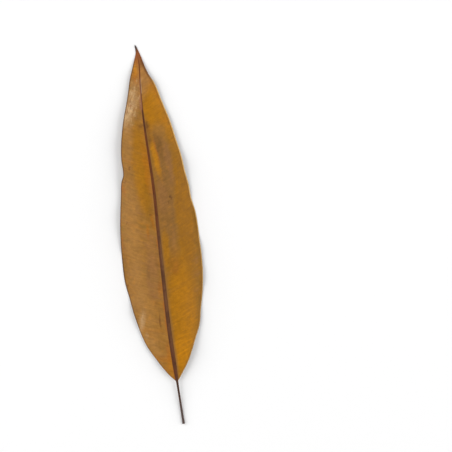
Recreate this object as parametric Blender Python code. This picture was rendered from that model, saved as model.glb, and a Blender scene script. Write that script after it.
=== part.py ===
# Preserved tropical leaf: a long, lance-shaped dried leaf with its cut stalk, lying on a surface.
# The leaf grew as one piece, so it is one solid: blade, midrib and stalk together.
# Metres, +Z up. The tip points to +Y, and the origin is under the middle of the leaf, on the surface.

import math

import bmesh
import bpy

# Driving dimensions
LENGTH = 0.460  # cut end to tip
STALK_LENGTH = 0.052
HALF_WIDTH = 0.0485  # widest half of the blade, midrib to margin
BLADE_THICKNESS = 0.0007
MIDRIB_HEIGHT = 0.0150  # top of the arch that the midrib makes over the surface

# Outline of each half, as (share of the blade from base to tip, share of the widest half)
LEFT_OUTLINE = (
    (0.00, 0.020), (0.02, 0.165), (0.06, 0.376), (0.12, 0.633), (0.20, 0.807), (0.26, 0.899),
    (0.31, 0.970), (0.36, 0.981), (0.41, 0.973), (0.46, 0.945), (0.51, 0.899), (0.56, 0.842),
    (0.68, 0.688), (0.73, 0.609), (0.78, 0.506), (0.83, 0.384), (0.87, 0.303), (0.91, 0.232),
    (0.95, 0.123), (0.975, 0.030), (0.994, 0.012), (1.00, 0.007),
)
RIGHT_OUTLINE = (
    (0.00, 0.020), (0.02, 0.148), (0.06, 0.377), (0.12, 0.618), (0.16, 0.764), (0.20, 0.833),
    (0.26, 0.935), (0.31, 0.985), (0.36, 1.000), (0.41, 0.989), (0.45, 0.982), (0.49, 0.957),
    (0.53, 0.889), (0.57, 0.865), (0.61, 0.822), (0.66, 0.788), (0.71, 0.718), (0.76, 0.649),
    (0.80, 0.560), (0.84, 0.461), (0.88, 0.358), (0.91, 0.213), (0.94, 0.119), (0.97, 0.071),
    (0.994, 0.028), (1.00, 0.012),
)
# Sideways run of the midrib, as (share of the leaf from cut end to tip, metres to the right)
MIDRIB_PATH = (
    (0.00, 0.0000), (0.10, -0.0010), (0.25, -0.0023), (0.39, -0.0013), (0.52, 0.0000),
    (0.62, 0.0010), (0.80, -0.0006), (0.89, 0.0004), (0.95, 0.0022), (1.00, 0.0000),
)
# Height of the midrib, as (share of the leaf, share of MIDRIB_HEIGHT)
MIDRIB_ARCH = (
    (0.00, 0.096), (0.03, 0.105), (0.11, 0.330), (0.22, 0.640), (0.36, 0.890), (0.52, 1.000),
    (0.68, 0.900), (0.82, 0.620), (0.91, 0.300), (0.96, 0.060), (1.00, -0.120),
)
# Half width of the midrib and the stalk, as (share of the leaf, metres)
RIB_HALF_WIDTH = (
    (0.000, 0.00155), (0.015, 0.00138), (0.100, 0.00135), (0.160, 0.00215), (0.330, 0.00205),
    (0.580, 0.00165), (0.800, 0.00095), (0.960, 0.00055), (1.000, 0.00042),
)
# How far the rounded rib stands over and under the middle of the blade, in the same form
RIB_OVER = (
    (0.00, 0.00130), (0.02, 0.00115), (0.11, 0.00115), (0.18, 0.00100), (0.60, 0.00080),
    (0.85, 0.00055), (1.00, 0.00036),
)
RIB_UNDER = (
    (0.00, 0.00145), (0.02, 0.00140), (0.11, 0.00170), (0.18, 0.00190), (0.60, 0.00130),
    (0.85, 0.00070), (0.94, 0.00035), (0.98, 0.00004), (1.00, 0.00000),
)

# Cross section of the blade
SWELL = 0.0026  # each half rises this much beside the midrib
LEFT_DROOP = 0.0130  # and its margin hangs this much lower than the midrib
RIGHT_DROOP = 0.0134
TWIST = 0.0014

# Waves of each margin, as (height, length, place of a crest along the leaf)
LEFT_WAVES = ((0.0022, 0.104, 0.035), (0.0008, 0.041, 0.012))
RIGHT_WAVES = ((0.0020, 0.122, 0.070), (0.0007, 0.047, 0.031))
WAVE_REACH = 2.4  # the greater, the nearer the waves keep to the margin

# Where each margin sags to the surface and lies on it
LEFT_REST_PLACE = 0.193  # along the leaf
RIGHT_REST_PLACE = 0.243
REST_SPREAD = 0.028
LEFT_SAG = 0.0026
RIGHT_SAG = 0.0038

# The pinch in the left margin, where the leaf creased as it dried
PINCH_PLACE = 0.306  # along the leaf
PINCH_BASE_SPREAD = 0.0070  # towards the stalk
PINCH_TIP_SPREAD = 0.0140
PINCH_DEPTH = 0.0029
PINCH_LIFT = 0.0030

FLOOR_SOFTNESS = 0.0010  # height over which the blade bends to lie flat on the surface
RIB_BLEND = 0.0003  # how softly the rib runs out into the blade
RIB_SHARE = 0.7  # the most of a narrow half that the rib's columns take up
STALK_SIDE_ANGLE = math.radians(75)  # the stalk's round section ends here, in a narrow flat side

LEAF_COLOUR = (0.36, 0.19, 0.045, 1.0)
LEAF_ROUGHNESS = 0.55

# Mesh: rows across the leaf, as (end of a stretch along the leaf, number of rows), and columns along it
ROWS = ((0.047, 8), (0.074, 11), (0.290, 41), (0.322, 10), (0.456, 25), (0.460, 3))
RIB_COLUMNS = 6
SIDE_COLUMNS = (0.09, 0.25, 0.46, 0.68, 0.85, 0.95, 1.00)  # shares of the way from rib to margin
SLOPE_STEP = 0.04  # share of a half over which the blade's slope is taken
SHARP_ANGLE = math.radians(50)


def curve_through(points, place):
    """The value at a place of a smooth curve through the points."""
    last = len(points) - 2
    i = 0
    while i < last and points[i + 1][0] < place:
        i += 1

    def slope(j):
        before = points[max(j - 1, 0)]
        after = points[min(j + 1, len(points) - 1)]
        return (after[1] - before[1]) / (after[0] - before[0])

    (start, from_value), (end, to_value) = points[i], points[i + 1]
    span = end - start
    t = min(max((place - start) / span, 0.0), 1.0)
    rise = 3 * t ** 2 - 2 * t ** 3
    leave = (t ** 3 - 2 * t ** 2 + t) * span * slope(i)
    arrive = (t ** 3 - t ** 2) * span * slope(i + 1)
    return from_value + rise * (to_value - from_value) + leave + arrive


def soft_max(a, b, softness):
    """The greater of two values, rounded off where they are nearly equal."""
    overlap = max(softness - abs(a - b), 0.0)
    return max(a, b) + overlap ** 2 / (4 * softness)


def nearness(along, place, spread):
    """1 at a place along the leaf, falling to 0 over its spread."""
    return math.exp(-((along - place) / spread) ** 2)


def pinch(along):
    """1 where the left margin is pinched in most, falling off faster towards the stalk."""
    spread = PINCH_BASE_SPREAD if along < PINCH_PLACE else PINCH_TIP_SPREAD
    return nearness(along, PINCH_PLACE, spread)


def rib_half_width(along):
    return curve_through(RIB_HALF_WIDTH, along / LENGTH)


def half_width(along, side):
    """From the midrib to the margin, on the left (side -1) or on the right (side 1)."""
    stalk = rib_half_width(along) * math.sin(STALK_SIDE_ANGLE)
    if along < STALK_LENGTH:
        return stalk
    share = (along - STALK_LENGTH) / (LENGTH - STALK_LENGTH)
    width = HALF_WIDTH * curve_through(LEFT_OUTLINE if side < 0 else RIGHT_OUTLINE, share)
    if side < 0:
        width -= PINCH_DEPTH * pinch(along)
    return max(width, stalk)


def waves(along, side):
    """Height of a margin's waves at a place along the leaf."""
    if side < 0:
        height = PINCH_LIFT * pinch(along)
        height -= LEFT_SAG * nearness(along, LEFT_REST_PLACE, REST_SPREAD)
    else:
        height = -RIGHT_SAG * nearness(along, RIGHT_REST_PLACE, REST_SPREAD)
    for crest, length, place in LEFT_WAVES if side < 0 else RIGHT_WAVES:
        height += crest * math.cos(2 * math.pi * (along - place) / length)
    return height


def lie_on_surface(height):
    """The same height, bent level where the blade would sink into the surface."""
    lowest = BLADE_THICKNESS / 2
    return lowest + soft_max(height - lowest, 0.0, FLOOR_SOFTNESS)


def blade_height(along, across):
    """Height of the middle of the blade. Across runs from -1 at the left margin to 1 at the right."""
    side = -1 if across < 0 else 1
    q = abs(across)
    breadth = half_width(along, side) / HALF_WIDTH
    height = MIDRIB_HEIGHT * curve_through(MIDRIB_ARCH, along / LENGTH)
    height += SWELL * breadth * 4 * q * (1 - q)
    height -= (LEFT_DROOP if side < 0 else RIGHT_DROOP) * breadth ** 2 * q ** 2
    height += TWIST * breadth * across * math.sin(2 * math.pi * along / LENGTH)
    height += breadth * q ** WAVE_REACH * waves(along, side)
    return lie_on_surface(height)


def blade_slope(along, across):
    """Steepness of the blade at a place, from there towards the margin."""
    side = -1 if across < 0 else 1
    inner = min(abs(across), 1 - SLOPE_STEP)
    rise = blade_height(along, side * (inner + SLOPE_STEP)) - blade_height(along, side * inner)
    return rise / (SLOPE_STEP * half_width(along, side))


def rib_height(along, from_midrib, heights):
    """Height of the rounded rib at a distance from the midrib's centre line."""
    share = min(abs(from_midrib) / rib_half_width(along), 1.0)
    return curve_through(heights, along / LENGTH) * math.sqrt(1 - share ** 2)


def leaf_point(along, across, upper):
    """A point of the leaf's upper face or underside."""
    side = -1 if across < 0 else 1
    from_midrib = across * half_width(along, side)
    x = curve_through(MIDRIB_PATH, along / LENGTH) + from_midrib
    y = along - LENGTH / 2
    middle = blade_height(along, across)
    blade = BLADE_THICKNESS / 2 * math.hypot(1, blade_slope(along, across))
    if upper:
        return x, y, middle + soft_max(rib_height(along, from_midrib, RIB_OVER), blade, RIB_BLEND)
    under = middle - soft_max(rib_height(along, from_midrib, RIB_UNDER), blade, RIB_BLEND)
    return x, y, max(under, 0.0)


def row_places():
    """Places along the leaf of the mesh's rows."""
    places = [0.0]
    for end, count in ROWS:
        start = places[-1]
        places += [start + (end - start) * (i + 1) / count for i in range(count)]
    return places


def column_share(along, column):
    """Share of the way from the midrib to the margin of a column, which is 0 on the midrib."""
    side = -1 if column < 0 else 1
    width = half_width(along, side)
    rib = min(rib_half_width(along), RIB_SHARE * width)
    half_rib = RIB_COLUMNS // 2
    if abs(column) <= half_rib:
        return rib * math.sin(math.pi / 2 * column / half_rib) / width
    out = SIDE_COLUMNS[abs(column) - half_rib - 1]
    return side * (rib + (width - rib) * out) / width


def leaf_mesh():
    """A flat slab of small triangles, the same on both faces, that is then shaped into the leaf."""
    places = row_places()
    half_columns = RIB_COLUMNS // 2 + len(SIDE_COLUMNS)
    bm = bmesh.new()
    bmesh.ops.create_grid(bm, x_segments=2 * half_columns, y_segments=len(places) - 1, size=0.5)
    bmesh.ops.triangulate(bm, faces=bm.faces[:])
    bmesh.ops.solidify(bm, geom=bm.faces[:], thickness=1.0)
    # The slab now runs from -0.5 to 0.5 both ways, with its upper face at 0 and its underside at -1.
    for vertex in bm.verts:
        column = round(vertex.co.x * 2 * half_columns)
        along = places[round((vertex.co.y + 0.5) * (len(places) - 1))]
        upper = vertex.co.z > -0.5
        vertex.co = leaf_point(along, column_share(along, column), upper)

    sides = [vertex.co.x for vertex in bm.verts]
    bmesh.ops.translate(bm, verts=bm.verts[:], vec=(-(min(sides) + max(sides)) / 2, 0, 0))
    bmesh.ops.triangulate(bm, faces=bm.faces[:])
    bmesh.ops.recalc_face_normals(bm, faces=bm.faces[:])
    mesh = bpy.data.meshes.new("leaf")
    bm.to_mesh(mesh)
    bm.free()
    mesh.shade_smooth()
    mesh.set_sharp_from_angle(angle=SHARP_ANGLE)
    return mesh


def leaf_material():
    """Golden brown, leathery and half matt."""
    material = bpy.data.materials.new("dried leaf")
    material.use_nodes = True
    shader = material.node_tree.nodes["Principled BSDF"]
    shader.inputs["Base Color"].default_value = LEAF_COLOUR
    shader.inputs["Roughness"].default_value = LEAF_ROUGHNESS
    return material


def build():
    for item in list(bpy.data.objects):
        bpy.data.objects.remove(item)
    collection = bpy.data.collections.new("preserved tropical leaf")
    bpy.context.scene.collection.children.link(collection)
    leaf = bpy.data.objects.new("leaf", leaf_mesh())
    leaf.data.materials.append(leaf_material())
    collection.objects.link(leaf)


build()
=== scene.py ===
import math

import bmesh
import bpy
import numpy as np
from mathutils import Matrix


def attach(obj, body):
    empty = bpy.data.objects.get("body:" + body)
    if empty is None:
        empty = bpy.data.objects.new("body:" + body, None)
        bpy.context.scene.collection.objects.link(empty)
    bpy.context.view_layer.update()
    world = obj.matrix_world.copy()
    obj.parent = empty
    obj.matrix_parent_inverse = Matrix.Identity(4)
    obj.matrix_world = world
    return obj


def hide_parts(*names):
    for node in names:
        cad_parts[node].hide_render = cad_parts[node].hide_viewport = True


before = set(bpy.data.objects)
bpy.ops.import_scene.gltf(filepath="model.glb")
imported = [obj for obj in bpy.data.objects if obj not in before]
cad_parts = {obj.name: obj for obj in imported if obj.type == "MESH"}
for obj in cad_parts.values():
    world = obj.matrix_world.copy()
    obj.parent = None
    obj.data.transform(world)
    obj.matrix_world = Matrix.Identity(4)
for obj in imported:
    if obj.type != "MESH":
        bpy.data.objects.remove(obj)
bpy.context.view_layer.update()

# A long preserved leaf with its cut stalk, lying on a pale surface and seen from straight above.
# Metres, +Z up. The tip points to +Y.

# Size and outline of the leaf
LENGTH = 0.460  # cut end to tip
STALK_LENGTH = 0.052
HALF_WIDTH = 0.0485  # widest half of the blade, midrib to margin
BLADE_THICKNESS = 0.0007  # of the CAD solid, which sets how high the blade lies
SHEET_THICKNESS = 0.00048  # of the blade as it is seen here
MIDRIB_HEIGHT = 0.0150
SIDE_SHIFT = 0.000502  # brings the middle of the blade's width over the origin

# Each half's outline, as (share of the blade from base to tip, share of the widest half)
LEFT_OUTLINE = (
    (0.00, 0.020), (0.02, 0.165), (0.06, 0.376), (0.12, 0.633), (0.20, 0.807), (0.26, 0.899),
    (0.31, 0.970), (0.36, 0.981), (0.41, 0.973), (0.46, 0.945), (0.51, 0.899), (0.56, 0.842),
    (0.68, 0.688), (0.73, 0.609), (0.78, 0.506), (0.83, 0.384), (0.87, 0.303), (0.91, 0.232),
    (0.95, 0.123), (0.975, 0.030), (0.994, 0.012), (1.00, 0.007),
)
RIGHT_OUTLINE = (
    (0.00, 0.020), (0.02, 0.148), (0.06, 0.377), (0.12, 0.618), (0.16, 0.764), (0.20, 0.833),
    (0.26, 0.935), (0.31, 0.985), (0.36, 1.000), (0.41, 0.989), (0.45, 0.982), (0.49, 0.957),
    (0.53, 0.889), (0.57, 0.865), (0.61, 0.822), (0.66, 0.788), (0.71, 0.718), (0.76, 0.649),
    (0.80, 0.560), (0.84, 0.461), (0.88, 0.358), (0.91, 0.213), (0.94, 0.119), (0.97, 0.071),
    (0.994, 0.028), (1.00, 0.012),
)
# Sideways run of the midrib, as (share of the leaf from cut end to tip, metres to the right)
MIDRIB_PATH = (
    (0.00, 0.0000), (0.10, -0.0010), (0.25, -0.0023), (0.39, -0.0013), (0.52, 0.0000),
    (0.62, 0.0010), (0.80, -0.0006), (0.89, 0.0004), (0.95, 0.0022), (1.00, 0.0000),
)
# Height of the midrib, as (share of the leaf, share of MIDRIB_HEIGHT)
MIDRIB_ARCH = (
    (0.00, 0.096), (0.03, 0.105), (0.11, 0.330), (0.22, 0.640), (0.36, 0.890), (0.52, 1.000),
    (0.68, 0.900), (0.82, 0.620), (0.91, 0.300), (0.96, 0.060), (1.00, -0.120),
)
# Half width of the midrib and the stalk, as (share of the leaf, metres)
RIB_HALF_WIDTH = (
    (0.000, 0.00155), (0.015, 0.00138), (0.100, 0.00135), (0.160, 0.00215), (0.330, 0.00205),
    (0.580, 0.00165), (0.800, 0.00095), (0.960, 0.00055), (1.000, 0.00042),
)
# Height of the rib over and under the middle of the blade, as (share of the leaf, metres)
RIB_OVER = (
    (0.00, 0.00130), (0.02, 0.00115), (0.11, 0.00115), (0.18, 0.00100), (0.60, 0.00080),
    (0.85, 0.00055), (1.00, 0.00036),
)
RIB_UNDER = (
    (0.00, 0.00145), (0.02, 0.00140), (0.11, 0.00170), (0.18, 0.00190), (0.60, 0.00130),
    (0.85, 0.00070), (0.94, 0.00035), (0.98, 0.00004), (1.00, 0.00000),
)
# The shallow groove along the top of the midrib, as (share of the leaf, depth as a share of the rib)
RIB_GROOVE = (
    (0.00, 0.00), (0.10, 0.05), (0.17, 0.34), (0.45, 0.30), (0.62, 0.12), (0.80, 0.00), (1.00, 0.00),
)
GROOVE_SPREAD = 0.42  # share of the rib's half width

# Cross section, waves and resting places of the blade. A wave is (height, length, place of a crest).
SWELL = 0.0026  # highest halfway from the midrib to the margin
LEFT_DROOP = 0.0130  # how far the margin droops where a half has its full width
RIGHT_DROOP = 0.0134
TWIST = 0.0014  # right margin raised near the stalk and lowered near the tip, the left one opposite
LEFT_WAVES = ((0.0022, 0.104, 0.035), (0.0008, 0.041, 0.012))
RIGHT_WAVES = ((0.0020, 0.122, 0.070), (0.0007, 0.047, 0.031))
WAVE_REACH = 2.4  # how fast the waves die away from the margin inwards
LEFT_REST_PLACE = 0.193  # where the margin lies on the surface
RIGHT_REST_PLACE = 0.243
REST_SPREAD = 0.028  # how fast the sag there dies away along the leaf
LEFT_SAG = 0.0026
RIGHT_SAG = 0.0038
PINCH_PLACE = 0.306
PINCH_BASE_SPREAD = 0.0070
PINCH_TIP_SPREAD = 0.0140
PINCH_DEPTH = 0.0029  # in towards the midrib
PINCH_LIFT = 0.0030
FLOOR_SOFTNESS = 0.0010  # how gently the blade bends level where it meets the surface
RIB_BLEND = 0.0003  # how gently the rib runs into the blade
RIB_SHARE = 0.7  # the most of the half width that the columns of the rib take up
STALK_SIDE_ANGLE = math.radians(84)  # from the top of the stalk round to where its side edge lies
SLOPE_STEP = 0.04  # share of the half width over which the slope is measured
RIPPLE_LENGTHS = (0.034, 0.027, 0.021, 0.016, 0.012, 0.009)
RIPPLE_DIRECTIONS = 3  # for each length
RIPPLE_HEIGHT = 0.0028  # for each metre of its length
RIPPLE_FADE = (0.002, 0.012)  # distances from the midrib between which the ripples grow
TIP_POINT = 0.0016  # length over which the very tip comes to a point
TIP_LEFT = 0.25  # share of its width that is left at the end

# Side veins
VEIN_GAP = (0.0019, 0.0025)  # from one vein to the next, least and most
VEIN_RISE = 0.40  # how steeply the veins rise towards the tip
VEIN_CURVE = 0.10
VEIN_OVER = 0.00005  # height of a vein on the upper side
VEIN_UNDER = 0.00012
LEFT_VEIN_SHIFT = 0.0011
VEIN_WOBBLE = 0.0003
VEIN_WOBBLE_LENGTH = 0.037
VEIN_WOBBLE_TURNS = 1.3  # from the midrib to the margin
VEIN_WOBBLE_FADE = (0.05, 0.3)  # shares of the way to the margin between which it grows
VEIN_SHIFT_FADE = 0.005  # distance from the midrib over which the shift of the left veins grows
VEIN_STRENGTH = (0.75, 0.25)  # of the veins on average, and how far single ones differ
VEIN_STRENGTH_STEP = 2.4
VEIN_MIDRIB_FADE = (0.001, 0.004)  # distances from the midrib between which a vein grows
VEIN_MARGIN_FADE = (0.0008, 0.004)
VEIN_BASE_FADE = 0.01
VEIN_TIP_FADE = (0.03, 0.01)  # distances from the tip between which the veins die away
RISE_BASE_FADE = 0.02
RISE_TIP_FADE = (0.05, 0.002)
ROWS_PER_VEIN = 4

# Thickened margin
MARGIN_BEAD = 0.00009
MARGIN_BEAD_WIDTH = 0.0008
MARGIN_ROUNDING = 0.00028
MARGIN_FLAT = 0.00007  # half thickness left at the very edge

# Mesh
STALK_ROWS = 31
TIP_ROWS = 6
TIP_START = 0.4585  # where the rows of the veins end and those of the very tip begin
RIB_COLUMNS = 5  # on each side of the midrib's middle
# Shares of the way from the edge of the rib to the margin
SIDE_COLUMNS = (0.045, 0.10, 0.17, 0.25, 0.34, 0.43, 0.52, 0.61, 0.70, 0.78, 0.86, 0.93)
MARGIN_COLUMNS = (0.0011, 0.0006, 0.0003, 0.00012, 0.0)  # distances from the edge, metres
MARGIN_ROOM = 0.8  # the most of the last side column that the margin columns may take up
SHARP_ANGLE = math.radians(60)

UPPER, UNDER, RIB, CUT = range(4)  # the materials' numbers


def curve_through(points, place):
    """The values at some places of a smooth curve through the points."""
    place = np.asarray(place, float)
    xs, ys = np.array(points).T
    slopes = np.empty(len(xs))
    slopes[1:-1] = (ys[2:] - ys[:-2]) / (xs[2:] - xs[:-2])
    slopes[0] = (ys[1] - ys[0]) / (xs[1] - xs[0])
    slopes[-1] = (ys[-1] - ys[-2]) / (xs[-1] - xs[-2])
    i = np.clip(np.searchsorted(xs, place) - 1, 0, len(xs) - 2)
    span = xs[i + 1] - xs[i]
    t = np.clip((place - xs[i]) / span, 0, 1)
    rise = 3 * t ** 2 - 2 * t ** 3
    leave = (t ** 3 - 2 * t ** 2 + t) * span * slopes[i]
    arrive = (t ** 3 - t ** 2) * span * slopes[i + 1]
    return ys[i] + rise * (ys[i + 1] - ys[i]) + leave + arrive


def soft_max(a, b, softness):
    """The greater of two values, rounded off where they are nearly equal."""
    overlap = np.maximum(softness - np.abs(a - b), 0)
    return np.maximum(a, b) + overlap ** 2 / (4 * softness)


def smooth_step(value, low, high):
    """0 up to low, 1 from high on, and a smooth rise between them."""
    t = np.clip((value - low) / (high - low), 0, 1)
    return t * t * (3 - 2 * t)


def nearness(along, place, spread):
    """1 at a place along the leaf, falling to 0 over its spread."""
    return np.exp(-((along - place) / spread) ** 2)


def pinch(along):
    """1 where the left margin is pinched in most, falling off faster towards the stalk."""
    spread = np.where(along < PINCH_PLACE, PINCH_BASE_SPREAD, PINCH_TIP_SPREAD)
    return nearness(along, PINCH_PLACE, spread)


def tip_taper(along):
    """1 along the leaf, falling to a small share at the very tip."""
    return 1 - (1 - TIP_LEFT) * smooth_step(along, LENGTH - TIP_POINT, LENGTH)


def rib_half_width(along):
    """Half the width of the midrib, which runs on as the stalk."""
    return curve_through(RIB_HALF_WIDTH, along / LENGTH) * tip_taper(along)


def half_width(along, side):
    """From the midrib to the margin, on the left (side -1) or on the right (side 1)."""
    stalk = rib_half_width(along) * math.sin(STALK_SIDE_ANGLE)
    share = (along - STALK_LENGTH) / (LENGTH - STALK_LENGTH)
    left = curve_through(LEFT_OUTLINE, share) * HALF_WIDTH
    left -= PINCH_DEPTH * pinch(along)
    right = curve_through(RIGHT_OUTLINE, share) * HALF_WIDTH
    blade = np.where(side < 0, left, right) * tip_taper(along)
    return np.where(along < STALK_LENGTH, stalk, np.maximum(blade, stalk))


def waves(along, side):
    """Height of a margin's waves at a place along the leaf."""
    left = PINCH_LIFT * pinch(along)
    left -= LEFT_SAG * nearness(along, LEFT_REST_PLACE, REST_SPREAD)
    right = -RIGHT_SAG * nearness(along, RIGHT_REST_PLACE, REST_SPREAD)
    for crest, length, place in LEFT_WAVES:
        left += crest * np.cos(2 * math.pi * (along - place) / length)
    for crest, length, place in RIGHT_WAVES:
        right += crest * np.cos(2 * math.pi * (along - place) / length)
    return np.where(side < 0, left, right)


def ripples(along, from_midrib):
    """The small dents and swellings of a dried blade."""
    rng = np.random.default_rng(7)
    height = np.zeros_like(along)
    for length in RIPPLE_LENGTHS:
        for direction in rng.uniform(0, math.pi, RIPPLE_DIRECTIONS):
            phase = rng.uniform(0, 2 * math.pi)
            run = along * math.cos(direction) + from_midrib * math.sin(direction)
            height += RIPPLE_HEIGHT * length * np.cos(2 * math.pi * run / length + phase)
    return height


def lie_on_surface(height):
    """The same height, bent level where the blade would sink into the surface."""
    lowest = BLADE_THICKNESS / 2
    return lowest + soft_max(height - lowest, 0.0, FLOOR_SOFTNESS)


def blade_height(along, across):
    """Height of the middle of the blade. Across runs from -1 at the left margin to 1 at the right."""
    side = np.where(across < 0, -1, 1)
    q = np.abs(across)
    width = half_width(along, side)
    breadth = width / HALF_WIDTH
    height = MIDRIB_HEIGHT * curve_through(MIDRIB_ARCH, along / LENGTH)
    height += SWELL * breadth * 4 * q * (1 - q)
    height -= np.where(side < 0, LEFT_DROOP, RIGHT_DROOP) * breadth ** 2 * q ** 2
    height += TWIST * breadth * across * np.sin(2 * math.pi * along / LENGTH)
    height += breadth * q ** WAVE_REACH * waves(along, side)
    height += smooth_step(q * width, *RIPPLE_FADE) * ripples(along, across * width)
    return lie_on_surface(height)


def blade_slope(along, across):
    """Steepness of the blade at a place, from there towards the margin."""
    side = np.where(across < 0, -1, 1)
    inner = np.minimum(np.abs(across), 1 - SLOPE_STEP)
    rise = blade_height(along, side * (inner + SLOPE_STEP)) - blade_height(along, side * inner)
    return rise / (SLOPE_STEP * half_width(along, side))


def row_places():
    """Place along the midrib of each row of the mesh, and the number of the vein that it lies on."""
    rng = np.random.default_rng(3)
    places = [STALK_LENGTH * i / STALK_ROWS for i in range(STALK_ROWS)]
    veins = [0.0] * STALK_ROWS
    place = STALK_LENGTH
    number = 0
    while place < TIP_START:
        gap = rng.uniform(*VEIN_GAP)
        for i in range(ROWS_PER_VEIN):
            places.append(place + gap * i / ROWS_PER_VEIN)
            veins.append(number + i / ROWS_PER_VEIN)
        place += gap
        number += 1
    places = np.array(places)
    inside = places < TIP_START
    tip = np.linspace(TIP_START, LENGTH, TIP_ROWS)
    return np.append(places[inside], tip), np.append(np.array(veins)[inside], np.full(TIP_ROWS, number))


def column_share(along, column):
    """Share of the way from the midrib to the margin of a column, which is 0 on the midrib."""
    side = np.where(column < 0, -1, 1)
    number = np.abs(column)
    width = half_width(along, side)
    rib = np.minimum(rib_half_width(along), RIB_SHARE * width)
    side_number = np.clip(number - RIB_COLUMNS - 1, 0, len(SIDE_COLUMNS) - 1)
    out = rib + (width - rib) * np.array(SIDE_COLUMNS)[side_number]
    margin_number = np.clip(number - RIB_COLUMNS - len(SIDE_COLUMNS) - 1, 0, len(MARGIN_COLUMNS) - 1)
    room = (width - rib) * (1 - SIDE_COLUMNS[-1])
    from_edge = np.array(MARGIN_COLUMNS) / MARGIN_COLUMNS[0]
    edge = width - np.minimum(MARGIN_COLUMNS[0], MARGIN_ROOM * room) * from_edge[margin_number]
    on_rib = rib * np.sin(math.pi / 2 * number / RIB_COLUMNS)
    x = np.where(number <= RIB_COLUMNS, on_rib, out)
    x = np.where(number > RIB_COLUMNS + len(SIDE_COLUMNS), edge, x)
    return side * x / width


def rib_height(along, from_midrib, upper):
    """Height of the rounded rib over or under the blade, at a distance from the midrib's middle."""
    share = np.minimum(np.abs(from_midrib) / rib_half_width(along), 1)
    rounded = np.sqrt(1 - share ** 2)
    groove = curve_through(RIB_GROOVE, along / LENGTH) * np.exp(-(share / GROOVE_SPREAD) ** 2)
    over = curve_through(RIB_OVER, along / LENGTH) * (rounded - groove) * tip_taper(along)
    under = curve_through(RIB_UNDER, along / LENGTH) * rounded
    return np.where(upper, over, under)


def vein_height(along, from_midrib, from_edge, vein, upper):
    """Height of the raised side veins, which fade out at the midrib, the margin and the tip."""
    crest = np.cos(2 * math.pi * vein) * 0.5 + 0.5
    average, difference = VEIN_STRENGTH
    strength = average + difference * np.cos(np.floor(vein + 0.5) * VEIN_STRENGTH_STEP)
    fade = smooth_step(np.abs(from_midrib), *VEIN_MIDRIB_FADE)
    fade *= smooth_step(from_edge, *VEIN_MARGIN_FADE)
    fade *= smooth_step(along, STALK_LENGTH, STALK_LENGTH + VEIN_BASE_FADE)
    fade *= 1 - smooth_step(along, LENGTH - VEIN_TIP_FADE[0], LENGTH - VEIN_TIP_FADE[1])
    return np.where(upper, VEIN_OVER, VEIN_UNDER) * crest ** 2 * strength * fade


def row_rise(row_place, side, q):
    """How much further along the leaf a row of the mesh lies at the share q of the way to the margin
    than at the midrib. The rows follow the veins."""
    width = half_width(row_place, side)
    rise = VEIN_RISE * width * (q + VEIN_CURVE * q ** 3)
    turns = VEIN_WOBBLE_TURNS * q + row_place / VEIN_WOBBLE_LENGTH
    rise += VEIN_WOBBLE * np.sin(2 * math.pi * turns) * smooth_step(q, *VEIN_WOBBLE_FADE)
    rise += np.where(side < 0, LEFT_VEIN_SHIFT, 0) * smooth_step(q * width, 0.0, VEIN_SHIFT_FADE)
    rise *= smooth_step(row_place, STALK_LENGTH, STALK_LENGTH + RISE_BASE_FADE)
    return rise * (1 - smooth_step(row_place, LENGTH - RISE_TIP_FADE[0], LENGTH - RISE_TIP_FADE[1]))


def leaf_points(row_place, vein, column, upper):
    """Places of the vertices, with what the materials read: see leaf_piece()."""
    side = np.where(column < 0, -1, 1)
    q = np.abs(column_share(row_place, column))
    along = np.minimum(row_place + row_rise(row_place, side, q), LENGTH)

    across = column_share(along, column)
    width = half_width(along, side)
    from_midrib = across * width
    from_edge = width - np.abs(from_midrib)
    middle = blade_height(along, across)
    slant = np.hypot(1, blade_slope(along, across))

    half = SHEET_THICKNESS / 2 + MARGIN_BEAD * np.exp(-(from_edge / MARGIN_BEAD_WIDTH) ** 2)
    rounding = np.clip(1 - from_edge / MARGIN_ROUNDING, 0, 1)
    half = MARGIN_FLAT + (half - MARGIN_FLAT) * np.sqrt(1 - rounding ** 2)
    half += vein_height(along, from_midrib, from_edge, vein, upper)
    offset = soft_max(rib_height(along, from_midrib, upper), half * slant, RIB_BLEND)

    x = curve_through(MIDRIB_PATH, along / LENGTH) + from_midrib + SIDE_SHIFT
    z = np.maximum(np.where(upper, middle + offset, middle - offset), 0)
    places = np.stack([x, along - LENGTH / 2, z], axis=1)
    rib = np.abs(from_midrib) / rib_half_width(along)
    return places, {"along": along, "from_midrib": from_midrib, "from_edge": from_edge, "rib": rib}


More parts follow.
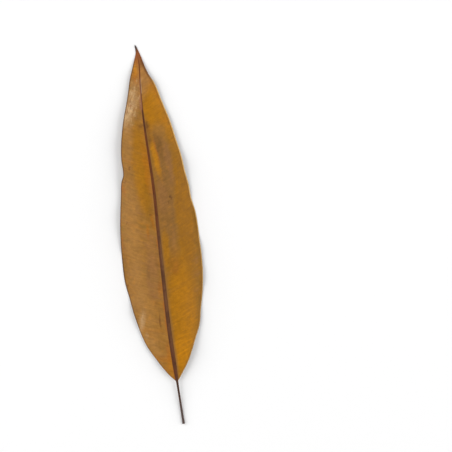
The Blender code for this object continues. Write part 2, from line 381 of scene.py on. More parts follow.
def leaf_piece(materials):
    """The whole leaf as one closed mesh. Its attributes say where each point lies on the leaf:
    along (metres from the cut end), from_midrib and from_edge (metres), rib (1 at the rib's edge), and
    vein (whole numbers on the veins)."""
    row_place, row_vein = row_places()
    half_columns = RIB_COLUMNS + len(SIDE_COLUMNS) + len(MARGIN_COLUMNS)
    rows = len(row_place) - 1
    bm = bmesh.new()
    bmesh.ops.create_grid(bm, x_segments=2 * half_columns, y_segments=rows, size=0.5)
    bmesh.ops.solidify(bm, geom=bm.faces[:], thickness=1.0)
    bmesh.ops.recalc_face_normals(bm, faces=bm.faces[:])
    mesh = bpy.data.meshes.new("leaf_visual")
    bm.to_mesh(mesh)
    bm.free()

    # The slab runs from -0.5 to 0.5 both ways, with its upper face at 0 and its underside at -1.
    flat = np.empty(len(mesh.vertices) * 3)
    mesh.vertices.foreach_get("co", flat)
    flat = flat.reshape(-1, 3)
    column = np.rint(flat[:, 0] * 2 * half_columns).astype(int)
    row = np.rint((flat[:, 1] + 0.5) * rows).astype(int)
    upper = flat[:, 2] > -0.5
    places, read_by_materials = leaf_points(row_place[row], row_vein[row], column, upper)
    mesh.vertices.foreach_set("co", places.ravel())
    read_by_materials["vein"] = row_vein[row]
    for name, values in read_by_materials.items():
        attribute = mesh.attributes.new(name, "FLOAT", "POINT")
        attribute.data.foreach_set("value", values.astype(np.float32))

    for material in materials:
        mesh.materials.append(material)
    mesh.update()
    assign_materials(mesh, column, row, upper)
    mesh.shade_smooth()
    mesh.set_sharp_from_angle(angle=SHARP_ANGLE)
    leaf = bpy.data.objects.new("dried_leaf", mesh)
    bpy.context.scene.collection.objects.link(leaf)
    return leaf


def assign_materials(mesh, column, row, upper):
    """Give each face the material of its part of the leaf."""
    slots = np.full(len(mesh.polygons), UPPER, dtype=np.int32)
    for face in mesh.polygons:
        corners = list(face.vertices)
        on_rib = max(abs(column[i]) for i in corners) <= RIB_COLUMNS
        on_stalk = max(row[i] for i in corners) <= STALK_ROWS
        if all(row[i] == 0 for i in corners):
            slots[face.index] = CUT
        elif on_rib or on_stalk:
            slots[face.index] = RIB
        elif not all(upper[i] for i in corners):
            slots[face.index] = UNDER
    mesh.polygons.foreach_set("material_index", slots)


# Colours, as seen in even light
def colour(red, green, blue):
    """A colour from its 0 to 255 values, as the shaders take it."""
    def linear(value):
        value /= 255
        return value / 12.92 if value <= 0.04045 else ((value + 0.055) / 1.055) ** 2.4

    return linear(red), linear(green), linear(blue), 1.0


TAN = colour(154, 107, 44)
# Paler tan of the left half towards its margin: partly its own colour, partly painted sheen
LIGHT_TAN_AND_SHEEN = colour(168, 119, 56)
MAUVE_TAN = colour(166, 116, 60)
OCHRE = colour(148, 100, 24)
GOLD = colour(160, 105, 6)
BRIGHT_GOLD = colour(182, 118, 4)
DEEP_GOLD = colour(150, 98, 6)
ORANGE_GOLD = colour(168, 100, 8)
ORANGE = colour(166, 92, 28)
OLIVE = colour(134, 102, 38)
MAUVE = colour(146, 100, 58)
# Pale painted sheen, laid on the left half of the blade
PALE_SHEEN = colour(200, 164, 118)
# Painted highlight on the blade just right of the midrib near the tip
RIB_HIGHLIGHT = colour(200, 184, 160)
GREY_BROWN = colour(136, 95, 44)
DARK_BROWN = colour(110, 74, 32)
BROWN_TAN = colour(139, 93, 12)
REDDISH = colour(142, 78, 40)
TIP_GOLD = colour(204, 136, 44)
TIP_BROWN = colour(126, 78, 38)
TIP_RIB = colour(108, 56, 20)
DARK_TIP = colour(72, 56, 52)
# Dark edge colour, also laid as a painted shade line along the left margin
LEFT_EDGE = colour(96, 68, 40)
# Painted highlight along the right margin
RIGHT_EDGE_HIGHLIGHT = colour(222, 176, 98)
SMUDGE = colour(88, 44, 16)
RIB_RED = colour(100, 50, 14)
RIB_BROWN = colour(94, 54, 30)
RIB_PURPLE = colour(92, 48, 28)
RIB_MAUVE = colour(112, 74, 44)
RIB_GREY = colour(128, 90, 54)
RIB_PINK = colour(148, 98, 70)
RIB_DARK = colour(62, 32, 16)
STALK_DARK = colour(68, 46, 36)
STALK_GREY = colour(86, 72, 68)
UNDERSIDE = colour(170, 132, 84)
CUT_WOOD = colour(150, 112, 78)

# Zones of the upper side: colour, place along, from the midrib (+ to the right), half length and half
# breadth, all in millimetres, lean (sideways for each step along), softness of the edge, and strength
ZONES = (
    # Left half, from the tip to the stalk
    (ORANGE_GOLD, 424, -4, 13, 4.5, 0.0, 0.5, 0.85),
    (TIP_GOLD, 433, -4, 8, 3.0, 0.2, 0.5, 0.6),
    (ORANGE, 438, -1.5, 3.5, 2.0, 0.0, 0.6, 0.6),
    # Painted sheen high on the left half
    (PALE_SHEEN, 390, -12, 26, 8, 0.3, 0.6, 0.35),
    (PALE_SHEEN, 400, -10, 7, 3.2, 0.3, 0.7, 0.3),
    (PALE_SHEEN, 379, -17, 12, 4.4, 0.4, 0.6, 0.95),
    (MAUVE, 391, -11, 10, 1.8, 0.4, 0.6, 0.35),
    (DARK_BROWN, 408, -2.2, 9, 2.2, 0.0, 0.6, 0.3),
    (DARK_BROWN, 371, -8, 5, 3.5, 0.0, 0.7, 0.15),
    # Paler tan towards the left margin, partly painted sheen
    (LIGHT_TAN_AND_SHEEN, 345, -22, 26, 6, 0.15, 0.6, 0.5),
    (LIGHT_TAN_AND_SHEEN, 232, -32, 60, 9, 0.0, 0.5, 0.5),
    (LIGHT_TAN_AND_SHEEN, 132, -25, 42, 10, -0.1, 0.6, 0.6),
    (GOLD, 318, -11, 44, 10, 0.07, 0.4, 0.85),
    (GOLD, 283, -12, 26, 7, 0.0, 0.45, 0.75),
    (ORANGE_GOLD, 310, -5, 30, 4, 0.0, 0.5, 0.5),
    (ORANGE, 291, -37, 9, 2.6, -0.15, 0.6, 0.4),
    (BROWN_TAN, 264, -8, 22, 5, 0.0, 0.5, 0.5),
    (ORANGE_GOLD, 247, -5, 9, 1.8, 0.0, 0.6, 0.5),
    (ORANGE_GOLD, 233, -12, 8, 1.6, 0.0, 0.6, 0.5),
    (ORANGE, 224, -44, 12, 1.4, 0.0, 0.6, 0.35),
    (MAUVE, 206, -10, 24, 7, 0.0, 0.5, 0.35),
    (MAUVE, 176, -13, 28, 7, 0.0, 0.5, 0.45),
    (DARK_BROWN, 187, -17, 9, 2.0, 0.0, 0.6, 0.35),
    (DARK_BROWN, 198, -5, 26, 3, 0.0, 0.6, 0.2),
    (ORANGE, 165, -5, 8, 2.2, 0.0, 0.6, 0.3),
    # Paler tan low on the left half, partly painted sheen
    (LIGHT_TAN_AND_SHEEN, 102, -25, 20, 4.5, -0.65, 0.6, 0.8),
    # Painted sheen streaks low on the left half
    (PALE_SHEEN, 128, -32, 10, 3.8, 0.37, 0.9, 0.45),
    (PALE_SHEEN, 133, -30.5, 6, 0.9, 0.37, 0.7, 0.35),
    (PALE_SHEEN, 111, -27, 4, 1.8, 0.0, 0.6, 0.2),
    (DARK_BROWN, 128, -9, 9, 1.2, -0.05, 0.5, 0.5),
    (RIB_RED, 126, -9.3, 6, 0.9, -0.05, 0.5, 0.35),
    (ORANGE, 84, -5, 14, 3, 0.0, 0.5, 0.4),
    (ORANGE_GOLD, 68, -9, 14, 7, 0.0, 0.5, 0.3),
    # Right half, from the tip to the stalk
    (MAUVE_TAN, 424, 7, 32, 9, 0.0, 0.4, 0.85),
    (TIP_BROWN, 440, 4, 7, 4.0, 0.0, 0.5, 0.8),
    (GOLD, 378, 12, 27, 11, 0.0, 0.4, 0.9),
    (ORANGE_GOLD, 395, 21, 22, 4, -0.35, 0.5, 0.5),
    (BRIGHT_GOLD, 384, 12, 22, 8, 0.0, 0.6, 0.4),
    (TAN, 350, 16, 13, 9, 0.0, 0.5, 0.75),
    (GOLD, 344, 31, 18, 5, -0.25, 0.5, 0.6),
    (BRIGHT_GOLD, 374, 23, 28, 6, -0.3, 0.6, 0.45),
    (GREY_BROWN, 314, 19, 36, 8.5, -0.1, 0.35, 0.85),
    (DARK_BROWN, 336, 13, 16, 3, -0.1, 0.5, 0.5),
    (MAUVE, 312, 22, 22, 4, -0.1, 0.5, 0.4),
    (GREY_BROWN, 262, 12, 56, 10.5, 0.0, 0.3, 0.85),
    (MAUVE, 274, 10, 17, 6, 0.0, 0.5, 0.4),
    (BRIGHT_GOLD, 322, 7.8, 23, 3.1, -0.10, 0.5, 0.75),
    (ORANGE, 330, 10.0, 14, 0.9, -0.10, 0.6, 0.4),
    (DARK_BROWN, 349, 3.4, 11, 3.4, 0.0, 0.6, 0.55),
    (DEEP_GOLD, 250, 33, 76, 9, 0.0, 0.4, 0.95),
    (GOLD, 212, 7, 22, 4.4, 0.0, 0.35, 0.8),
    (GREY_BROWN, 207, 19, 24, 4.5, 0.0, 0.5, 0.55),
    (MAUVE, 212, 18, 16, 2.6, 0.0, 0.6, 0.35),
    (GOLD, 126, 20, 80, 17, 0.0, 0.3, 0.95),
    (BRIGHT_GOLD, 86, 11, 26, 12, 0.25, 0.8, 0.95),
    (BRIGHT_GOLD, 122, 27, 30, 6, 0.1, 0.6, 0.3),
    (BRIGHT_GOLD, 155, 20, 34, 10, 0.0, 0.6, 0.4),
    (ORANGE, 188, 16, 7, 4, 0.0, 0.6, 0.25),
    (DARK_BROWN, 192, 14, 12, 8, 0.0, 0.7, 0.25),
    (BROWN_TAN, 150, 42, 34, 4.5, 0.13, 0.5, 0.7),
    (BROWN_TAN, 216, 45.5, 46, 3, -0.02, 0.5, 0.75),
    # Beside the midrib
    (RIB_PINK, 388, -1.8, 12, 1.5, 0.0, 0.5, 0.7),
)
# Small dark spots, in the same form
SPOTS = (
    (SMUDGE, 362, -3.4, 3.0, 4.0, 0.0, 0.6, 0.4),
    (SMUDGE, 361, 2.4, 5.0, 2.4, 0.0, 0.6, 0.55),
    (SMUDGE, 313, -25.6, 1.6, 1.3, 0.0, 0.6, 0.55),
    (SMUDGE, 297, -34, 1.2, 1.4, 0.0, 0.6, 0.4),
    (SMUDGE, 271.5, 18.6, 1.8, 1.3, -0.3, 0.6, 0.7),
    (SMUDGE, 265.5, 15.8, 1.1, 0.9, 0.0, 0.6, 0.4),
    (SMUDGE, 254, -6.6, 1.2, 1.2, 0.0, 0.6, 0.5),
    (SMUDGE, 248, -37, 1.6, 1.0, 0.3, 0.6, 0.35),
    (SMUDGE, 173, -44.5, 1.6, 1.4, 0.0, 0.6, 0.5),
)

# The painted sheen high on the left half, in the same form without a colour
SHEEN_PATCH = (391, -12, 26, 10, 0.3, 0.5, 0.8)

# Places along the leaf, in metres from the cut end. A stretch is (start, full from, full to, end).
TIP_REDDENS = (0.432, 0.445)
TIP_DARKENS = (0.449, 0.456)
# Stretch of the painted highlight beside the midrib
RIB_HIGHLIGHT_STRETCH = (0.398, 0.402, 0.415, 0.420)
PINK_STRETCH = (0.376, 0.382, 0.410, 0.425)
LOW_DARK_STRETCH = (0.166, 0.176, 0.182, 0.192)
HIGH_DARK_STRETCH = (0.350, 0.358, 0.372, 0.382)

# Depth of the bumps
FINE_RELIEF = 0.00012
RIB_RELIEF = 0.00018
CUT_RELIEF = 0.0001

# How fine the patterns are: cells of noise for each metre, or for each vein
PORES = 1400.0
FINE_GRAIN = 900.0
MOTTLE = 210.0
PITH_SPECKLE = 2600.0
STREAKS_BY_VEIN = 0.9
STREAKS_OUTWARDS = 90.0
# Streaks of the painted sheen patch
SHEEN_STREAKS_ACROSS = 330.0
SHEEN_STREAKS_ALONG = 130.0
RIB_STREAKS_ACROSS = 2600.0
RIB_STREAKS_ALONG = 90.0


class NodeTree:
    """Short ways to place the nodes of one material or group."""

    def __init__(self, tree):
        self.tree = tree

    def node(self, kind, inputs=(), **settings):
        node = self.tree.nodes.new(kind)
        for name, value in settings.items():
            setattr(node, name, value)
        for name, value in dict(inputs).items():
            self.feed(node.inputs[name], value)
        return node

    def feed(self, socket, value):
        if isinstance(value, bpy.types.NodeSocket):
            self.tree.links.new(value, socket)
        else:
            socket.default_value = value

    def attribute(self, name):
        return self.node("ShaderNodeAttribute", attribute_name=name).outputs["Fac"]

    def math(self, operation, first, second=0.0):
        node = self.node("ShaderNodeMath", operation=operation)
        self.feed(node.inputs[0], first)
        self.feed(node.inputs[1], second)
        return node.outputs[0]

    def add(self, first, *others):
        for other in others:
            first = self.math("ADD", first, other)
        return first

    def times(self, first, *others):
        for other in others:
            first = self.math("MULTIPLY", first, other)
        return first

    def wave(self, value, turns):
        """A wave from -1 to 1 with some turns for each step of the value."""
        return self.math("COSINE", self.times(value, turns * 2 * math.pi))

    def ramp(self, value, low, high, to_low=0.0, to_high=1.0):
        """A smooth change from to_low at low to to_high at high."""
        node = self.node("ShaderNodeMapRange", interpolation_type="SMOOTHSTEP", inputs={
            "Value": value, "From Min": low, "From Max": high, "To Min": to_low, "To Max": to_high,
        })
        return node.outputs["Result"]

    def stretch(self, value, places):
        """1 on a stretch of the leaf, with a smooth rise before it and a smooth fall after it."""
        start, full_from, full_to, end = places
        return self.times(self.ramp(value, start, full_from), self.ramp(value, end, full_to))

    def mix(self, mask, first, second):
        node = self.node("ShaderNodeMix", data_type="RGBA", blend_type="MIX")
        self.feed(node.inputs[0], mask)
        self.feed(node.inputs[6], first)
        self.feed(node.inputs[7], second)
        return node.outputs[2]

    def lay(self, base, shade, *masks):
        """The base colour with a shade laid over it as far as all the masks let it show."""
        return self.mix(self.times(*masks), base, shade)

    def place(self, shift=0.0):
        """Where the shaded point lies, or that place moved so that a noise doesn't repeat."""
        place = self.node("ShaderNodeTexCoord").outputs["Object"]
        if not shift:
            return place
        moved = self.node("ShaderNodeVectorMath", operation="ADD")
        self.feed(moved.inputs[0], place)
        self.feed(moved.inputs[1], shift if isinstance(shift, bpy.types.NodeSocket) else (shift,) * 3)
        return moved.outputs[0]

    def flat_place(self, across, lengthwise):
        """A place for a noise drawn out one way, from two values that change over the leaf."""
        node = self.node("ShaderNodeCombineXYZ")
        self.feed(node.inputs[0], across)
        self.feed(node.inputs[1], lengthwise)
        return node.outputs[0]

    def scaled(self, vector, factor):
        node = self.node("ShaderNodeVectorMath", operation="SCALE")
        self.feed(node.inputs[0], vector)
        self.feed(node.inputs["Scale"], factor)
        return node.outputs[0]

    def noise(self, scale, detail=3.0, roughness=0.55, vector=None, shift=0.0):
        vector = self.place(shift) if vector is None else vector
        inputs = {"Scale": scale, "Detail": detail, "Roughness": roughness, "Vector": vector}
        return self.node("ShaderNodeTexNoise", inputs=inputs).outputs["Fac"]

    def swing(self, noise, amount):
        """A noise, which lies round 0.5, made to swing round 0."""
        return self.times(self.math("SUBTRACT", noise, 0.5), amount)

    def group(self, group, **inputs):
        node = self.node("ShaderNodeGroup", node_tree=group)
        for name, value in inputs.items():
            self.feed(node.inputs[name.replace("_", " ").capitalize()], value)
        return node.outputs


def new_group(name, inputs, outputs):
    """A shader group with named inputs, as {name: value}, and named outputs, all of them numbers."""
    group = bpy.data.node_groups.new(name, "ShaderNodeTree")
    for label, value in inputs.items():
        socket = group.interface.new_socket(label, in_out="INPUT", socket_type="NodeSocketFloat")
        socket.default_value = value
    for label in outputs:
        group.interface.new_socket(label, in_out="OUTPUT", socket_type="NodeSocketFloat")
    nodes = NodeTree(group)
    taken = nodes.node("NodeGroupInput").outputs
    given = nodes.node("NodeGroupOutput").inputs
    return group, nodes, taken, given


def zone_group():
    """Mask of a soft oval zone of the leaf, in lengths along the leaf and from the midrib."""
    inputs = {
        "Along": 0.0, "Across": 0.0, "Place along": 0.0, "Place across": 0.0, "Half length": 0.01,
        "Half breadth": 0.01, "Lean": 0.0, "Softness": 0.5, "Strength": 1.0,
    }
    group, nodes, taken, given = new_group("leaf zone", inputs, ["Mask"])
    ahead = nodes.math("SUBTRACT", taken["Along"], taken["Place along"])
    aside = nodes.math("SUBTRACT", taken["Across"], taken["Place across"])
    aside = nodes.math("SUBTRACT", aside, nodes.times(ahead, taken["Lean"]))
    down = nodes.math("DIVIDE", ahead, taken["Half length"])
    side = nodes.math("DIVIDE", aside, taken["Half breadth"])
    distance = nodes.math("SQRT", nodes.add(nodes.times(down, down), nodes.times(side, side)))
    inner = nodes.math("SUBTRACT", 1.0, taken["Softness"])
    outer = nodes.add(1.0, taken["Softness"])
    mask = nodes.ramp(distance, inner, outer, 1.0, 0.0)
    nodes.feed(given["Mask"], nodes.times(mask, taken["Strength"]))
    return group


def grain_group():
    """Fine leathery grain: a value from 0 to 1 for height, and a slower one for shade."""
    group, nodes, taken, given = new_group("leaf grain", {"Scale": 1.0}, ["Height", "Mottle"])
    place = nodes.scaled(nodes.place(), taken["Scale"])
    cells = nodes.node(
        "ShaderNodeTexVoronoi", feature="DISTANCE_TO_EDGE", inputs={"Vector": place, "Scale": PORES}
    ).outputs["Distance"]
    pores = nodes.ramp(cells, 0.0, 0.16, 0.0, 0.6)
    fine = nodes.noise(FINE_GRAIN, 3.0, 0.6, place)
    nodes.feed(given["Height"], nodes.add(nodes.times(fine, 0.4), pores))
    nodes.feed(given["Mottle"], nodes.noise(MOTTLE, 5.0, 0.62, place))
    return group


def streak_group():
    """Streaks that run along the side veins and change from one vein to the next, in three sizes."""
    inputs = {"Vein": 0.0, "From midrib": 0.0}
    group, nodes, taken, given = new_group("leaf streaks", inputs, ["Fine", "Coarse", "Broad"])
    from_vein_to_vein = nodes.times(taken["Vein"], STREAKS_BY_VEIN)
    outwards = nodes.times(taken["From midrib"], STREAKS_OUTWARDS)
    place = nodes.flat_place(from_vein_to_vein, outwards)
    nodes.feed(given["Fine"], nodes.noise(1.0, 4.0, 0.6, place))
    nodes.feed(given["Coarse"], nodes.noise(0.42, 4.0, 0.6, place))
    nodes.feed(given["Broad"], nodes.noise(0.15, 3.0, 0.55, place))
    return group


def uneven_group():
    """A value made uneven by noise. The shift keeps two of them from matching."""
    inputs = {"Value": 0.0, "Scale": 60.0, "Amount": 0.01, "Shift": 0.0}
    group, nodes, taken, given = new_group("uneven value", inputs, ["Value"])
    noise = nodes.noise(taken["Scale"], 4.0, 0.6, shift=taken["Shift"])
    nodes.feed(given["Value"], nodes.add(taken["Value"], nodes.swing(noise, taken["Amount"])))
    return group


def dark_end_group():
    """Mask of the dark end of the tip."""
    group, nodes, taken, given = new_group("dark end of the tip", {"Along": 0.0}, ["Mask"])
    nodes.feed(given["Mask"], nodes.ramp(taken["Along"], *TIP_DARKENS))
    return group


ZONE = zone_group()
GRAIN = grain_group()
STREAKS = streak_group()
UNEVEN = uneven_group()
DARK_END = dark_end_group()


def make_uneven(nodes, value, scale, amount, shift=0.0):
    """A value moved up or down by noise, by at most half the amount."""
    return nodes.group(UNEVEN, value=value, scale=scale, amount=amount, shift=shift)["Value"]


def zone_mask(nodes, zone, along, across):
    """Mask of a zone as in ZONES, given without its colour."""
    place, aside, length, breadth, lean, softness, strength = zone
    return nodes.group(
        ZONE, along=along, across=across, place_along=place / 1000, place_across=aside / 1000,
        half_length=length / 1000, half_breadth=breadth / 1000, lean=lean, softness=softness,
        strength=strength,
    )["Mask"]


def paint(nodes, base, zones, along, across):
    """The base colour with each zone's colour laid over it."""
    for shade, *zone in zones:
        base = nodes.mix(zone_mask(nodes, zone, along, across), base, shade)
    return base


def darken_end(nodes, base, along):
    """The base colour with the dark end of the tip laid over it."""
    return nodes.mix(nodes.group(DARK_END, along=along)["Mask"], base, DARK_TIP)


def new_material(name, roughness, specular):
    """A material with its shader set, its node maker, and the shader."""
    material = bpy.data.materials.new(name)
    material.use_nodes = True
    shader = material.node_tree.nodes["Principled BSDF"]
    shader.inputs["Roughness"].default_value = roughness
    shader.inputs["Specular IOR Level"].default_value = specular
    return material, NodeTree(material.node_tree), shader


def finish_material(nodes, shader, base, height, relief):
    """Give the shader its colour and its bumps."""
    nodes.feed(shader.inputs["Base Color"], base)
    bump = nodes.node("ShaderNodeBump", inputs={"Height": height, "Distance": relief, "Strength": 1.0})
    nodes.feed(shader.inputs["Normal"], bump.outputs["Normal"])


def ground_colour(nodes, along, side, streaks, mottle):
    """Mottled colour of each half, its zones with uneven edges, and the painted sheen patch."""
    # Tan on the left half, ochre on the right: the left half's paler, duller tan is partly its own
    # colour, partly painted sheen
    base = nodes.mix(nodes.ramp(side, -0.001, 0.001), TAN, OCHRE)
    base = nodes.mix(nodes.ramp(streaks["Coarse"], 0.52, 0.70, 0.0, 0.5), base, OLIVE)
    base = nodes.mix(nodes.ramp(streaks["Coarse"], 0.48, 0.32, 0.0, 0.5), base, MAUVE)
    base = nodes.mix(nodes.ramp(streaks["Broad"], 0.54, 0.72, 0.0, 0.5), base, ORANGE_GOLD)
    uneven_along = make_uneven(nodes, along, 60.0, 0.016)
    uneven_side = make_uneven(nodes, side, 75.0, 0.008, 1.7)
    base = paint(nodes, base, ZONES, uneven_along, uneven_side)
    greyer_by_half = nodes.ramp(side, 0.0, 0.004, 0.35, 0.18)
    base = nodes.lay(base, GREY_BROWN, nodes.ramp(streaks["Broad"], 0.46, 0.30), greyer_by_half)

    # The painted sheen is broken into darker and paler streaks, which run lengthwise and lean as the
    # patch does.
    sheen_patch = zone_mask(nodes, SHEEN_PATCH, uneven_along, uneven_side)
    leaning = nodes.add(side, nodes.times(along, -0.3))
    across, lengthwise = nodes.times(leaning, SHEEN_STREAKS_ACROSS), nodes.times(along, SHEEN_STREAKS_ALONG)
    sheen_streaks = nodes.noise(1.0, 3.0, 0.6, nodes.flat_place(across, lengthwise))
    base = nodes.lay(base, MAUVE, sheen_patch, nodes.ramp(sheen_streaks, 0.50, 0.36))
    base = nodes.lay(base, PALE_SHEEN, sheen_patch, nodes.ramp(sheen_streaks, 0.52, 0.68))
    return nodes.mix(nodes.ramp(mottle, 0.55, 0.72, 0.0, 0.2), base, ORANGE_GOLD)


def vein_lines(nodes, along, side, from_edge, vein, streaks, mottle):
    """How light the blade is at a place, about 1 on average, and a mask of the dark thread on each
    vein. The veins lie in paler bands, with darker ones between them, clearest low on the right."""
    vein = make_uneven(nodes, vein, 140.0, 0.45, 6.2)
    line = nodes.wave(vein, 1)
    strong_line = nodes.wave(vein, 0.5)
    fine_line = nodes.wave(vein, 3)
    thread = nodes.add(nodes.ramp(line, 0.86, 1.0), nodes.ramp(fine_line, 0.6, 1.0, 0.0, 0.4))
    thread = nodes.times(thread, nodes.ramp(mottle, 0.35, 0.6, 0.35, 1.0))

    right = nodes.ramp(side, 0.002, 0.008)
    low = nodes.ramp(along, 0.17, 0.09)
    inner = nodes.ramp(side, 0.034, 0.018, 0.25, 1.0)
    depth = nodes.add(nodes.times(right, low, inner, 0.04), 0.035)
    broken = nodes.ramp(streaks["Coarse"], 0.42, 0.58)
    depth = nodes.times(depth, broken, nodes.ramp(from_edge, 0.001, 0.006))
    light = nodes.add(
        nodes.swing(mottle, 0.8), 1.0, nodes.swing(streaks["Fine"], 0.65), nodes.times(line, depth),
        nodes.times(strong_line, depth), nodes.times(fine_line, 0.02), 0.02, nodes.times(thread, -0.16),
    )
    return light, thread


def fringe_midrib(nodes, base, along, rib, left, right):
    """Beside the midrib: a grey brown fringe on the right, an orange brown one on the left, and a
    painted highlight line near the tip."""
    below_smudge = nodes.ramp(along, 0.385, 0.365)
    base = nodes.lay(base, GREY_BROWN, nodes.ramp(rib, 1.2, 2.8, 0.75, 0.0), below_smudge, right)
    patchy = nodes.ramp(nodes.noise(45.0, 2.0, shift=4.1), 0.45, 0.62, 0.1, 0.9)
    base = nodes.lay(base, ORANGE, nodes.ramp(rib, 1.4, 2.2, 0.6, 0.0), below_smudge, left, patchy)
    # Painted highlight line just right of the midrib near the tip
    pale = nodes.stretch(along, RIB_HIGHLIGHT_STRETCH)
    base = nodes.lay(base, RIB_HIGHLIGHT, pale, nodes.ramp(rib, 2.0, 1.5), right, 0.8)
    return nodes.mix(nodes.ramp(rib, 1.0, 1.35, 0.6, 0.0), base, RIB_BROWN)


def colour_margins(nodes, base, along, from_edge, left, right):
    """A painted shade line along the left margin, and along the right one a painted highlight line with
    a darker one inside it. The very edge is dark on both sides, and the right margin near the tip is
    brown."""
    # Painted shade line along the left margin
    edge_shade = nodes.times(nodes.ramp(from_edge, 0.0018, 0.0008), left)
    base = nodes.lay(base, LEFT_EDGE, edge_shade, nodes.ramp(along, 0.09, 0.15, 0.4, 1.0), 0.8)
    inner_line = nodes.ramp(from_edge, 0.0030, 0.0016)
    base = nodes.lay(base, DARK_BROWN, inner_line, right, 0.4)
    # Painted highlight line along the right margin
    edge_highlight = nodes.times(nodes.ramp(from_edge, 0.0013, 0.0008), right)
    edge_highlight = nodes.times(edge_highlight, nodes.ramp(along, 0.08, 0.36, 0.35, 1.0))
    base = nodes.lay(base, RIGHT_EDGE_HIGHLIGHT, edge_highlight, nodes.ramp(along, 0.425, 0.410))
    base = nodes.mix(nodes.ramp(from_edge, 0.00028, 0.00012, 0.0, 0.6), base, LEFT_EDGE)
    tip_edge = nodes.times(nodes.ramp(from_edge, 0.004, 0.001), nodes.ramp(along, 0.405, 0.425))
    return nodes.lay(base, RIB_BROWN, tip_edge, right, 0.6)


def upper_material():
    """Golden brown leather, mottled and streaked along the veins."""
    material, nodes, shader = new_material("leaf_upper_side", 0.5, 0.14)
    along = nodes.attribute("along")
    side = nodes.attribute("from_midrib")
    from_edge = nodes.attribute("from_edge")
    vein = nodes.attribute("vein")
    rib = nodes.attribute("rib")
    grain = nodes.group(GRAIN, scale=1.0)
    streaks = nodes.group(STREAKS, vein=vein, from_midrib=side)

    base = ground_colour(nodes, along, side, streaks, grain["Mottle"])
    light, thread = vein_lines(nodes, along, side, from_edge, vein, streaks, grain["Mottle"])
    base = nodes.scaled(base, light)
    spot_along = make_uneven(nodes, along, 300.0, 0.010)
    spot_side = make_uneven(nodes, side, 300.0, 0.008, 2.9)
    base = paint(nodes, base, SPOTS, spot_along, spot_side)

    left = nodes.ramp(side, 0.0, -0.002)
    right = nodes.ramp(side, 0.0, 0.002)
    base = fringe_midrib(nodes, base, along, rib, left, right)
    base = colour_margins(nodes, base, along, from_edge, left, right)

    # The red of the tip starts a little later on its right side.
    tip_place = make_uneven(nodes, along, 120.0, 0.012)
    red_place = nodes.add(tip_place, nodes.ramp(side, -0.003, 0.003, 0.0, -0.004))
    base = nodes.mix(nodes.ramp(red_place, *TIP_REDDENS, 0.0, 0.85), base, REDDISH)
    base = darken_end(nodes, base, tip_place)

    rough = nodes.add(nodes.times(grain["Mottle"], 0.2), 0.36)
    nodes.feed(shader.inputs["Roughness"], rough)
    height = nodes.add(
        nodes.times(grain["Height"], 0.5), nodes.times(thread, 0.5), nodes.times(grain["Mottle"], 1.2)
    )
    finish_material(nodes, shader, base, height, FINE_RELIEF)
    return material


def underside_material():
    """Paler, duller and rougher than the upper side."""
    material, nodes, shader = new_material("leaf_underside", 0.75, 0.25)
    along = nodes.attribute("along")
    rib = nodes.attribute("rib")
    from_edge = nodes.attribute("from_edge")
    grain = nodes.group(GRAIN, scale=1.3)
    base = nodes.mix(nodes.ramp(nodes.noise(30.0, 4.0), 0.35, 0.7), UNDERSIDE, TAN)
    base = nodes.mix(nodes.ramp(grain["Mottle"], 0.45, 0.75, 0.0, 0.4), base, MAUVE)
    line = nodes.wave(nodes.attribute("vein"), 1)
    base = nodes.mix(nodes.ramp(line, 0.3, 1.0, 0.0, 0.35), base, MAUVE)
    base = nodes.mix(nodes.ramp(rib, 1.0, 2.0, 0.5, 0.0), base, RIB_MAUVE)
    base = nodes.mix(nodes.ramp(from_edge, 0.0014, 0.0004, 0.0, 0.7), base, LEFT_EDGE)
    base = nodes.mix(nodes.ramp(along, 0.425, 0.445), base, REDDISH)
    base = darken_end(nodes, base, along)
    finish_material(nodes, shader, base, nodes.add(grain["Height"], grain["Mottle"]), FINE_RELIEF)
    return material


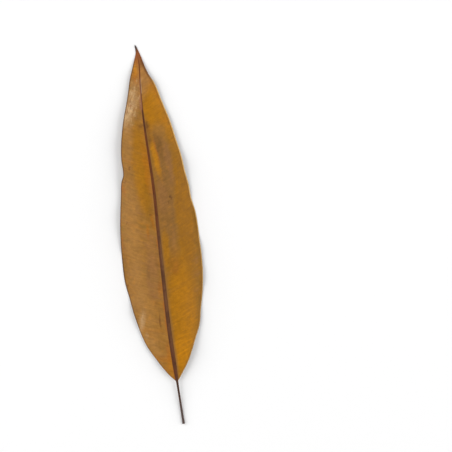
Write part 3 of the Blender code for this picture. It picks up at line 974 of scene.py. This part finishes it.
def rib_material():
    """The midrib and the stalk: red brown with darker edges, more purple towards the stalk."""
    material, nodes, shader = new_material("midrib_and_stalk", 0.55, 0.15)
    along = nodes.attribute("along")
    side = nodes.attribute("from_midrib")
    rib = nodes.attribute("rib")
    grain = nodes.group(GRAIN, scale=1.2)
    across, lengthwise = nodes.times(side, RIB_STREAKS_ACROSS), nodes.times(along, RIB_STREAKS_ALONG)
    streaks = nodes.noise(1.0, 3.0, 0.6, nodes.flat_place(across, lengthwise))
    uneven = make_uneven(nodes, along, 60.0, 0.03)

    base = nodes.mix(nodes.ramp(uneven, 0.26, 0.20), RIB_RED, RIB_BROWN)
    base = nodes.mix(nodes.ramp(uneven, 0.12, 0.08), base, RIB_PURPLE)
    middle = nodes.times(nodes.ramp(rib, 0.8, 0.3), nodes.ramp(uneven, 0.26, 0.20))
    middle = nodes.times(middle, nodes.ramp(side, -0.0014, 0.0006, 0.15, 0.85))
    base = nodes.lay(base, RIB_MAUVE, middle, nodes.ramp(uneven, 0.07, 0.11, 0.4, 1.0))
    grey_side = nodes.times(nodes.ramp(side, 0.0004, 0.0014), nodes.ramp(uneven, 0.27, 0.21, 0.25, 0.8))
    base = nodes.lay(base, RIB_GREY, grey_side, nodes.ramp(uneven, 0.16, 0.20, 0.3, 1.0))
    dark_patches = nodes.noise(55.0, 3.0, shift=5.3)
    base = nodes.mix(nodes.ramp(dark_patches, 0.48, 0.62, 0.0, 0.5), base, RIB_DARK)
    base = nodes.lay(base, RIB_DARK, nodes.stretch(uneven, LOW_DARK_STRETCH), 0.45)
    base = nodes.mix(nodes.ramp(streaks, 0.5, 0.66, 0.0, 0.4), base, RIB_MAUVE)
    base = nodes.mix(nodes.ramp(streaks, 0.5, 0.34, 0.0, 0.5), base, RIB_DARK)
    base = nodes.mix(nodes.ramp(rib, 0.7, 1.0, 0.0, 0.45), base, RIB_DARK)
    base = nodes.lay(base, RIB_DARK, nodes.stretch(along, HIGH_DARK_STRETCH), 0.6)

    # A pink stretch on its left towards the tip, the dark grey stalk, and the red tip
    left = nodes.ramp(side, 0.0004, -0.0002)
    base = nodes.lay(base, RIB_PINK, nodes.stretch(uneven, PINK_STRETCH), left, 0.9)
    base = nodes.mix(nodes.ramp(along, 0.062, 0.048, 0.0, 0.9), base, STALK_DARK)
    base = nodes.mix(nodes.ramp(uneven, 0.035, 0.010, 0.0, 0.8), base, STALK_GREY)
    base = nodes.mix(nodes.ramp(uneven, 0.412, 0.422, 0.0, 0.85), base, TIP_RIB)
    base = nodes.mix(nodes.ramp(uneven, 0.436, 0.447, 0.0, 0.85), base, REDDISH)
    base = darken_end(nodes, base, along)
    height = nodes.add(streaks, nodes.times(grain["Height"], 0.4))
    finish_material(nodes, shader, base, height, RIB_RELIEF)
    return material


def cut_material():
    """The straight cut through the stalk: brown pith, with the dark skin at its two sides."""
    material, nodes, shader = new_material("stalk_cut_end", 0.85, 0.2)
    speckle = nodes.noise(PITH_SPECKLE, 3.0, 0.7)
    base = nodes.mix(nodes.ramp(speckle, 0.4, 0.65, 0.0, 0.6), CUT_WOOD, RIB_BROWN)
    base = nodes.mix(nodes.ramp(nodes.attribute("rib"), 0.6, 0.85), base, STALK_DARK)
    finish_material(nodes, shader, base, speckle, CUT_RELIEF)
    return material


leaf = leaf_piece([upper_material(), underside_material(), rib_material(), cut_material()])
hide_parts("leaf")
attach(leaf, "root")


# Floor, light and camera
FLOOR_SIZE = 20.0  # half of its side
FLOOR_COLOUR = (0.92, 0.92, 0.92, 1.0)
LIGHT_SIZE = 5.0
LIGHTS = (  # name, place, and power in watts
    ("left_light", (-4.0, 1.25, 3.0), 225.0),
    ("right_light", (4.25, -0.25, 2.75), 194.0),
)
SKY_COLOUR = (1.0, 1.0, 1.0, 1.0)
SKY_STRENGTH = 0.40
LENS = 135.0
SENSOR_WIDTH = 36.0
FRAME_WIDTH = 0.5424  # metres across the frame at the height of the camera's target
CAMERA_PLACE = (0.08155, -0.0005)  # the leaf lies left of the middle of the frame
CAMERA_TARGET_HEIGHT = 0.008
CAMERA_TURN = math.radians(-7.36)  # the leaf leans in the frame as it does in the photograph
CAMERA_REACH = 50.0  # nothing further away is seen


def make_floor():
    bm = bmesh.new()
    bmesh.ops.create_grid(bm, x_segments=1, y_segments=1, size=FLOOR_SIZE)
    mesh = bpy.data.meshes.new("floor")
    bm.to_mesh(mesh)
    bm.free()
    floor = bpy.data.objects.new("floor", mesh)
    material, _, shader = new_material("pale_floor", 0.9, 0.1)
    shader.inputs["Base Color"].default_value = FLOOR_COLOUR
    mesh.materials.append(material)
    bpy.context.scene.collection.objects.link(floor)


def make_light(name, place, power):
    """A soft square light that faces the middle of the leaf."""
    light = bpy.data.lights.new(name, "AREA")
    light.shape = "SQUARE"
    light.size = LIGHT_SIZE
    light.energy = power
    lamp = bpy.data.objects.new(name, light)
    lamp.location = place
    lamp.rotation_euler = lamp.location.to_track_quat("Z", "Y").to_euler()
    bpy.context.scene.collection.objects.link(lamp)


def make_camera():
    """Straight above, looking down."""
    data = bpy.data.cameras.new("camera")
    data.lens = LENS
    data.sensor_width = SENSOR_WIDTH
    data.clip_end = CAMERA_REACH
    camera = bpy.data.objects.new("camera", data)
    camera.location = (*CAMERA_PLACE, FRAME_WIDTH * LENS / SENSOR_WIDTH + CAMERA_TARGET_HEIGHT)
    camera.rotation_euler = (0.0, 0.0, CAMERA_TURN)
    bpy.context.scene.collection.objects.link(camera)
    bpy.context.scene.camera = camera


make_floor()
for light_name, light_place, light_power in LIGHTS:
    make_light(light_name, light_place, light_power)
world = bpy.data.worlds.new("studio")
world.use_nodes = True
sky = world.node_tree.nodes["Background"]
sky.inputs["Color"].default_value = SKY_COLOUR
sky.inputs["Strength"].default_value = SKY_STRENGTH
bpy.context.scene.world = world
bpy.context.scene.view_settings.view_transform = "Standard"
make_camera()
